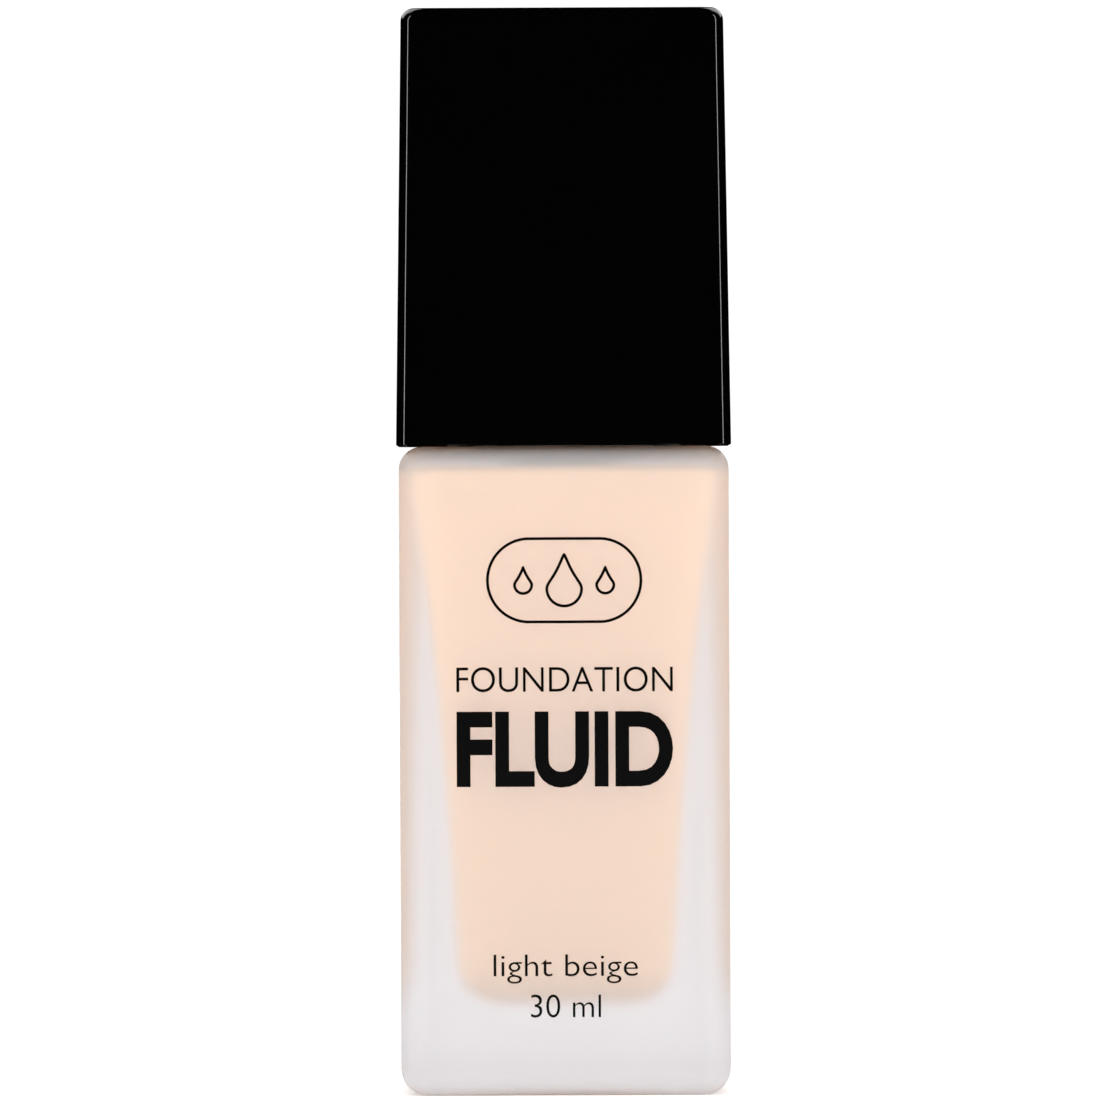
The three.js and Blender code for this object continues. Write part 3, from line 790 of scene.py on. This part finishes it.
def makeFrontPrint():
    size = printing["dropletSize"]
    marks = [printWord(*word) for word in printing["words"]]
    marks += [printBadge(), printDroplet(0, printing["middleDroplet"] * size)]
    gap, small = printing["dropletGap"], printing["sideDroplet"] * size
    marks += [printDroplet(side * gap, small) for side in (-1, 1)]
    clearSelection()
    for mark in marks:
        mark.select_set(True)
    bpy.context.view_layer.objects.active = marks[0]
    bpy.ops.object.join()
    inked = nameActive("frontPrint")
    settle(inked, "bottle", "satin_black_plastic", "printInk")


overcap = {
    "topHalf": 16.12,
    "corner": 2.4,
    "topFillet": 1.3,
    "wall": 1.3,
    "roof": 1.5,
    "mouthEdge": 0.07,
    "flat": 0.25,  # width of the strip that keeps the flat faces flat in shading
}


def makeOvercapShell():
    low, high = boxOf("overcap_shell")
    half = high.x
    shell = startBlock("overcapShell", half, low.z, high.z, overcap["corner"], 12)
    pick(shell, "FACE", lambda face: level(face, high.z))
    taper = overcap["topHalf"] / half
    bpy.ops.transform.resize(value=(taper, taper, 1), center_override=(0, 0, 0))
    softenRim(shell, high.z, overcap["topFillet"])
    pick(shell, "FACE", facesOut)
    bpy.ops.mesh.inset(thickness=overcap["flat"] * mm, use_individual=True)
    pick(shell, "FACE", lambda face: level(face, high.z))
    bpy.ops.transform.resize(value=(0.98, 0.98, 1), center_override=(0, 0, high.z * mm))

    pick(shell, "FACE", lambda face: level(face, low.z))
    bpy.ops.mesh.inset(thickness=overcap["wall"] * mm)
    innerLow, innerHigh = half - overcap["wall"], overcap["topHalf"] - overcap["wall"]
    carryFace(shell, low.z, innerHigh / innerLow, high.z - low.z - overcap["roof"])
    bpy.ops.object.mode_set(mode="OBJECT")
    roundEdges(shell, overcap["mouthEdge"], 2, 60)
    settle(shell, "overcap", "gloss_black_plastic", "glossBlack", "overcap_shell", smooth=40)


liner = {
    "bore": 12.1,
    "tube": 13.0,
    "seat": 11.3,
    "flange": 1.2,
    "wallGap": 1.6,  # from the overcap's outside to the flange
    "flangeCorner": 1.1,
    "gussetReach": 5.4,
    "gussetThick": 1.2,
    "gussetTall": 20,
    "ribs": 8,
    "ribStand": 0.6,
    "ribWide": 1.0,
}


def addBar(wide, deep, low, high, out, angle):
    # a plain upright bar, out from the axis at an angle in degrees, to be joined to a piece
    clearSelection()
    bpy.ops.mesh.primitive_cube_add(size=mm)
    bar = nameActive("bar")
    bar.scale = (wide, deep, high - low)
    turn = math.radians(angle)
    bar.location = (out * math.cos(turn) * mm, out * math.sin(turn) * mm, (low + high) / 2 * mm)
    bar.rotation_euler.z = turn
    bpy.ops.object.transform_apply(location=True, rotation=True, scale=True)
    return bar


def makeOvercapLiner():
    low, high = boxOf("overcap_liner")
    step = boxOf("collar_sleeve")[1].z + 0.05
    half = boxOf("overcap_shell")[1].x - liner["wallGap"]
    tube = turned("overcapLiner", [
        (0, low.z), (liner["tube"], low.z), (liner["tube"], high.z), (0, high.z),
    ])
    plate = startBlock("plate", half, low.z, low.z + liner["flange"], liner["flangeCorner"], 6)
    combine(tube, plate, "UNION")
    for angle in (45, 135, 225, 315):
        combine(tube, addBar(liner["gussetReach"], liner["gussetThick"], low.z + 0.1,
                             low.z + liner["gussetTall"], liner["tube"] + 2.3, angle), "UNION")
    bore = turned("bore", [
        (0, low.z - 1), (liner["bore"], low.z - 1), (liner["bore"], step), (liner["seat"], step),
        (liner["seat"], high.z + 1), (0, high.z + 1),
    ])
    combine(tube, bore, "DIFFERENCE")
    for i in range(liner["ribs"]):
        combine(tube, addBar(liner["ribStand"], liner["ribWide"], low.z + 0.4, step - 0.4,
                             liner["bore"] + 0.1, 360 * (i + 0.5) / liner["ribs"]), "UNION")
    roundEdges(tube, 0.12, 2, 50)
    settle(tube, "overcap", "satin_black_plastic", "satinBlack", "overcap_liner")


collar = {"outer": 11.2, "valley": 10.15, "roof": 81.8, "mouth": 5.7}


def makeScrewCollar():
    low, high = boxOf("screw_collar")
    outer, valley, roof, mouth = collar["outer"], collar["valley"], collar["roof"], collar["mouth"]
    ring = turned("screwCollar", [
        (valley, low.z), (outer, low.z), (outer, high.z), (mouth, high.z), (mouth, roof), (valley, roof),
        (valley, low.z),
    ])
    thread = {"turns": 1.1, "root": 1.5, "crest": 0.6, "stand": 0.95, "sunk": 0.3}
    middle = boxOf("bottle")[1].z - threading["top"] - threading["pitch"] / 2
    combine(ring, windThread("collarThread", valley, thread, middle, -1), "UNION")
    roundEdges(ring, 0.12, 2, 50)
    settle(ring, "collar", "satin_black_plastic", "satinBlack", "screw_collar")


sleeve = {"wall": 0.45, "bend": 0.5, "mouth": 7.0}


def makeCollarSleeve():
    low, high = boxOf("collar_sleeve")
    outer, bend = high.x, sleeve["bend"]
    inner, roof = outer - sleeve["wall"], high.z - sleeve["wall"]
    shell = turned("collarSleeve", [
        (inner, low.z), (outer, low.z), *arc(outer - bend, high.z - bend, bend, 0, 90),
        (sleeve["mouth"], high.z), (sleeve["mouth"], roof), (inner, roof), (inner, low.z),
    ], steps=128)
    roundEdges(shell, 0.1, 2, 50)
    settle(shell, "collar", "black_aluminium", "anodisedBlack", "collar_sleeve")


head = {"wall": 0.9, "fillet": 1.0, "roof": 1.1, "dish": 0.6, "dishHalf": 6.0, "spoutHole": 2.6}
spout = {"height": 98.0, "outer": 2.3, "bore": 0.9, "reach": 10.95, "tip": 1.8, "boss": 3.4, "disc": 6.4}


def makeHeadButton():
    low, high = boxOf("head_button")
    outer = high.x
    inner = outer - head["wall"]
    ceiling = high.z - head["dish"] - head["roof"]
    band = head["spoutHole"] + 0.3  # a ring of edges under and over the hole keeps the shading even
    bandLow, bandHigh = spout["height"] - band, spout["height"] + band

    def onDish(radius):
        return radius, high.z - head["dish"] * (1 - (radius / head["dishHalf"]) ** 2) ** 0.8

    cup = turned("headButton", [
        (inner, low.z), (outer, low.z), (outer, bandLow), (outer, bandHigh),
        *arc(outer - head["fillet"], high.z - head["fillet"], head["fillet"], 0, 90, 8),
        *[onDish(radius) for radius in (5.6, 4.8, 3.8, 2.6, 1.3, 0)],
        (0, ceiling), (inner - 0.4, ceiling), (inner, ceiling - 0.4), (inner, bandLow),
        (inner, low.z),
    ], steps=128)
    hole = addRod(head["spoutHole"], (0, -outer - 2, spout["height"]), (0, 0, spout["height"]))
    combine(cup, hole, "DIFFERENCE")
    roundEdges(cup, 0.12, 2, 50)
    settle(cup, "head", "gloss_black_plastic", "glossBlack", "head_button")


def makeNozzleCore():
    low, high = boxOf("nozzle_core")
    at, boss, disc = spout["height"], spout["boss"], spout["disc"]
    core = turned("nozzleCore", [
        (0, low.z), (boss, low.z), (boss, low.z + 1.6), (disc, low.z + 1.6), (disc, low.z + 2.6),
        (boss, low.z + 2.6), (boss, high.z), (0, high.z),
    ], steps=64)
    nose = turned("nose", [
        (0, 1), (spout["outer"], 1), (spout["outer"], spout["reach"] - 1),
        *arc(spout["tip"] - 0.2, spout["reach"] - 0.2, 0.2, 20, 90, 4), (0, spout["reach"]),
    ], steps=64)
    nose.rotation_euler.x = math.pi / 2
    nose.location.z = at * mm
    bpy.ops.object.transform_apply(location=True, rotation=True, scale=True)
    combine(core, nose, "UNION")
    stemTop = boxOf("stem_tube")[1].z
    combine(core, addRod(2.1, (0, 0, low.z - 1), (0, 0, stemTop + 0.05)), "DIFFERENCE")
    combine(core, addRod(spout["bore"], (0, -spout["reach"] - 1, at), (0, 0.5, at), 32), "DIFFERENCE")
    combine(core, addRod(spout["bore"], (0, 0, stemTop - 0.5), (0, 0, at), 32), "DIFFERENCE")
    roundEdges(core, 0.1, 2, 50)
    settle(core, "head", "satin_black_plastic", "satinBlack", "nozzle_core")


guide = {"tower": 5.4, "bore": 2.3, "flangeThick": 1.0, "plug": 3.6, "flange": 8.4, "flangeLow": 80.75}
barrel = {
    "outer": 4.6,
    "bore": 3.7,
    "ledge": 62.8,
    "tubeTop": 56.0,
    "tubeSocketOuter": 2.7,
    "waist": 3.5,  # round the ball's cage
    "flangeLow": 79.5,
    "flange": 8.6,
    "vent": 0.45,
    "ventHeight": 77.2,
}
ball = {"radius": 1.5, "cage": 2.1, "lip": 1.25, "throat": 0.9}
tube = {"outer": 1.6, "bore": 1.1, "socket": 1.7, "slantCube": 8, "slantAt": (0.6, -3.4), "slantTurn": 0.6}
plug = {"tip": 1.3, "shoulder": 1.9, "rise": 1.4, "edge": 2.0, "slope": 0.3, "pin": 0.95}
stem = {
    "outer": 2.0,
    "bore": 1.1,
    "stopLow": 78.6,
    "stop": 2.9,
    "stopThick": 0.8,
    "foot": 1.35,
    "port": 0.4,
}
spring = {"wire": 0.275, "coil": 2.75, "turns": 6.5, "closed": 0.8, "stepsPerTurn": 40, "stroke": 4.2}


def makeStemGuide():
    low, high = boxOf("stem_guide")
    tower, bore, flangeTop = guide["tower"], guide["bore"], guide["flangeLow"] + guide["flangeThick"]
    piece = turned("stemGuide", [
        (bore, low.z), (guide["plug"], low.z), (guide["plug"], guide["flangeLow"]),
        (guide["flange"], guide["flangeLow"]), (guide["flange"], flangeTop), (tower, flangeTop),
        (tower, high.z), (tower - 0.9, high.z), (tower - 0.9, high.z - 2.6), (bore + 0.8, high.z - 2.6),
        (bore + 0.8, high.z - 0.6), (bore, high.z - 0.6), (bore, low.z),
    ])
    roundEdges(piece, 0.12, 3, 50)
    settle(piece, "pump_body", "satin_black_plastic", "satinBlack", "stem_guide")


def makePumpHousing():
    low, high = boxOf("pump_housing")
    outer, bore, ledge, tubeTop = barrel["outer"], barrel["bore"], barrel["ledge"], barrel["tubeTop"]
    sleeveOuter, waist = barrel["tubeSocketOuter"], barrel["waist"]
    ballLow, ballHigh = boxOf("ball_valve")
    # the tip of the 90 degree cone that the ball sits in
    cone = (ballLow.z + ballHigh.z) / 2 - ball["radius"] * math.sqrt(2)
    piece = turned("pumpHousing", [
        (tube["socket"], low.z), (sleeveOuter, low.z), (sleeveOuter, tubeTop + 0.6),
        (waist, tubeTop + 1.4), (waist, ledge - 2.2), (outer, ledge - 0.6),
        (outer, barrel["flangeLow"]), (barrel["flange"], barrel["flangeLow"]),
        (barrel["flange"], high.z), (bore, high.z), (bore, ledge), (ball["lip"], ledge),
        (ball["lip"], ledge - 0.4), (ball["cage"], ledge - 0.8), (ball["cage"], cone + ball["cage"] - 0.1),
        (ball["throat"], cone + ball["throat"] - 0.1), (ball["throat"], tubeTop), (tube["socket"], tubeTop),
        (tube["socket"], low.z),
    ], steps=64)
    ventAt = barrel["ventHeight"]
    combine(piece, addRod(barrel["vent"], (0, 0, ventAt), (outer + 1, 0, ventAt), 24), "DIFFERENCE")
    settle(piece, "pump_body", "natural_plastic", "naturalPlastic", "pump_housing")


def makeGasket():
    low, high = boxOf("neck_gasket")
    inner = barrel["outer"] + 0.5
    piece = turned("neckGasket", [
        (inner, low.z), (high.x, low.z), (high.x, high.z), (inner, high.z), (inner, low.z),
    ], steps=64)
    roundEdges(piece, 0.15, 3, 50)
    settle(piece, "pump_body", "gasket_foam", "gasketFoam", "neck_gasket")


def makeDipTube():
    low, high = boxOf("dip_tube")
    piece = turned("dipTube", [
        (tube["bore"], low.z), (tube["outer"], low.z), (tube["outer"], high.z), (tube["bore"], high.z),
        (tube["bore"], low.z),
    ], steps=48)
    clearSelection()
    sideways, down = tube["slantAt"]
    bpy.ops.mesh.primitive_cube_add(
        size=tube["slantCube"] * mm, location=(sideways * mm, 0, (low.z + down) * mm),
        rotation=(0, tube["slantTurn"], 0))
    slant = nameActive("slant")
    bpy.ops.object.transform_apply(location=True, rotation=True, scale=True)
    combine(piece, slant, "DIFFERENCE")
    settle(piece, "pump_body", "natural_plastic", "naturalPlastic", "dip_tube")


def makeBallValve():
    # a cube subdivided into a sphere, so it has no poles
    low, high = boxOf("ball_valve")
    clearSelection()
    bpy.ops.mesh.primitive_cube_add(size=2 * mm, location=(0, 0, (low.z + high.z) / 2 * mm))
    piece = nameActive("ballValve")
    bpy.ops.object.mode_set(mode="EDIT")
    bpy.ops.mesh.select_all(action="SELECT")
    bpy.ops.mesh.subdivide(number_cuts=11)
    bpy.ops.object.mode_set(mode="OBJECT")
    bpy.ops.object.modifier_add(type="CAST")
    rounding = piece.modifiers[-1]
    rounding.factor = 1
    rounding.size = ball["radius"] * mm
    rounding.use_radius_as_size = False
    bpy.ops.object.modifier_apply(modifier=rounding.name)
    bpy.ops.object.transform_apply(location=True, rotation=True, scale=True)
    settle(piece, "ball", "steel_ball", "ballSteel", "ball_valve")


def makeReturnSpring():
    # one vertex extruded round a helix, then given the wire's thickness
    low, high = boxOf("return_spring")
    wire, coil, turns, closed = spring["wire"], spring["coil"], spring["turns"], spring["closed"]
    closedPitch = 2 * wire + 0.05
    openPitch = (high.z - low.z - 2 * wire - 2 * closed * closedPitch) / (turns - 2 * closed)

    def onHelix(gone):
        # the place of the wire's middle after a number of turns
        near = min(gone, closed) + max(0, gone - turns + closed)
        angle = math.tau * gone
        height = low.z + wire + near * closedPitch + (gone - near) * openPitch
        return Vector((coil * math.cos(angle), coil * math.sin(angle), height)) * mm

    steps = int(turns * spring["stepsPerTurn"])
    path = [onHelix(turns * i / steps) for i in range(steps + 1)]
    clearSelection()
    bpy.ops.mesh.primitive_plane_add(size=mm, location=path[0])
    piece = nameActive("returnSpring")
    bpy.ops.object.transform_apply(location=True, rotation=True, scale=True)
    bpy.ops.object.mode_set(mode="EDIT")
    bpy.ops.mesh.select_mode(type="VERT")
    bpy.ops.mesh.select_all(action="SELECT")
    bpy.ops.mesh.merge(type="CENTER")
    for here, there in zip(path, path[1:]):
        bpy.ops.mesh.extrude_region_move(TRANSFORM_OT_translate={"value": there - here})
    bpy.ops.object.mode_set(mode="OBJECT")
    bpy.ops.object.convert(target="CURVE")
    piece = bpy.context.object
    piece.data.bevel_depth = wire * mm
    piece.data.bevel_resolution = 3
    piece.data.use_fill_caps = True
    bpy.ops.object.convert(target="MESH")
    piece = nameActive("returnSpring")
    settle(piece, "pump_body", "spring_steel", "springSteel", "return_spring", smooth=50, weighted=False)
    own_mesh(piece)


def makeStem():
    low, high = boxOf("stem_tube")
    outer, bore, foot = stem["outer"], stem["bore"], stem["foot"]
    stopLow, stopHigh = stem["stopLow"], stem["stopLow"] + stem["stopThick"]
    piece = turned("stemTube", [
        (foot, low.z), (outer, low.z), (outer, stopLow), (stem["stop"], stopLow), (stem["stop"], stopHigh),
        (outer, stopHigh), (outer, high.z - 0.3), (outer - 0.3, high.z), (bore, high.z), (bore, low.z + 1),
        (foot, low.z + 1), (foot, low.z),
    ], steps=64)
    combine(piece, addRod(stem["port"], (-3, 0, low.z + 1.6), (3, 0, low.z + 1.6), 24), "DIFFERENCE")
    settle(piece, "stem_unit", "natural_plastic", "naturalPlastic", "stem_tube")

    low, high = boxOf("stem_plug")
    rim, pin, seat = high.x, foot - 0.1, high.z - plug["pin"]
    closure = turned("stemPlug", [
        (0, low.z), (plug["tip"], low.z), (plug["shoulder"], low.z + plug["rise"]),
        (rim, low.z + plug["rise"]), (rim, low.z + plug["edge"]),
        (rim - plug["slope"], seat), (pin, seat), (pin, high.z), (0, high.z),
    ], steps=64)
    settle(closure, "stem_unit", "natural_plastic", "naturalPlastic", "stem_plug")


piston = {"land": 2.6, "groove": 3.0, "waist": 2.9, "lipThick": 0.5, "lipRoot": 1.3}


def makePiston():
    low, high = boxOf("piston")
    lip, inner = high.x, stem["outer"] + 0.1
    land, groove, waist = piston["land"], piston["groove"], piston["waist"]
    lipEnd, root = 0.1 + piston["lipThick"], piston["lipRoot"]
    piece = turned("piston", [
        (inner, low.z), (land, low.z), (groove, low.z + 0.3), (lip, low.z + 0.1), (lip, low.z + lipEnd),
        (waist, low.z + root), (waist, high.z - root), (lip, high.z - lipEnd), (lip, high.z - 0.1),
        (groove, high.z - 0.3), (land, high.z), (inner, high.z), (inner, low.z),
    ], steps=64)
    roundEdges(piece, 0.05, 2, 50)
    settle(piece, "piston", "piston_rubber", "pistonPlastic", "piston")


boxMiddle = (cadBounds[0] + cadBounds[1]) / 2
groups = {"surfaceGrain": makeSurfaceGrain(), "toneDrift": makeToneDrift()}
finishes = makeFinishes()
print("finishes mixed")
makeCamera()
makeStudio()
makeGlassBottle()
makeLiquid()
makeBaseSticker()
makeFrontPrint()
makeOvercapShell()
makeOvercapLiner()
makeScrewCollar()
makeCollarSleeve()
makeHeadButton()
makeNozzleCore()
makeStemGuide()
makePumpHousing()
makeGasket()
makeDipTube()
makeBallValve()
makeReturnSpring()
makeStem()
makePiston()
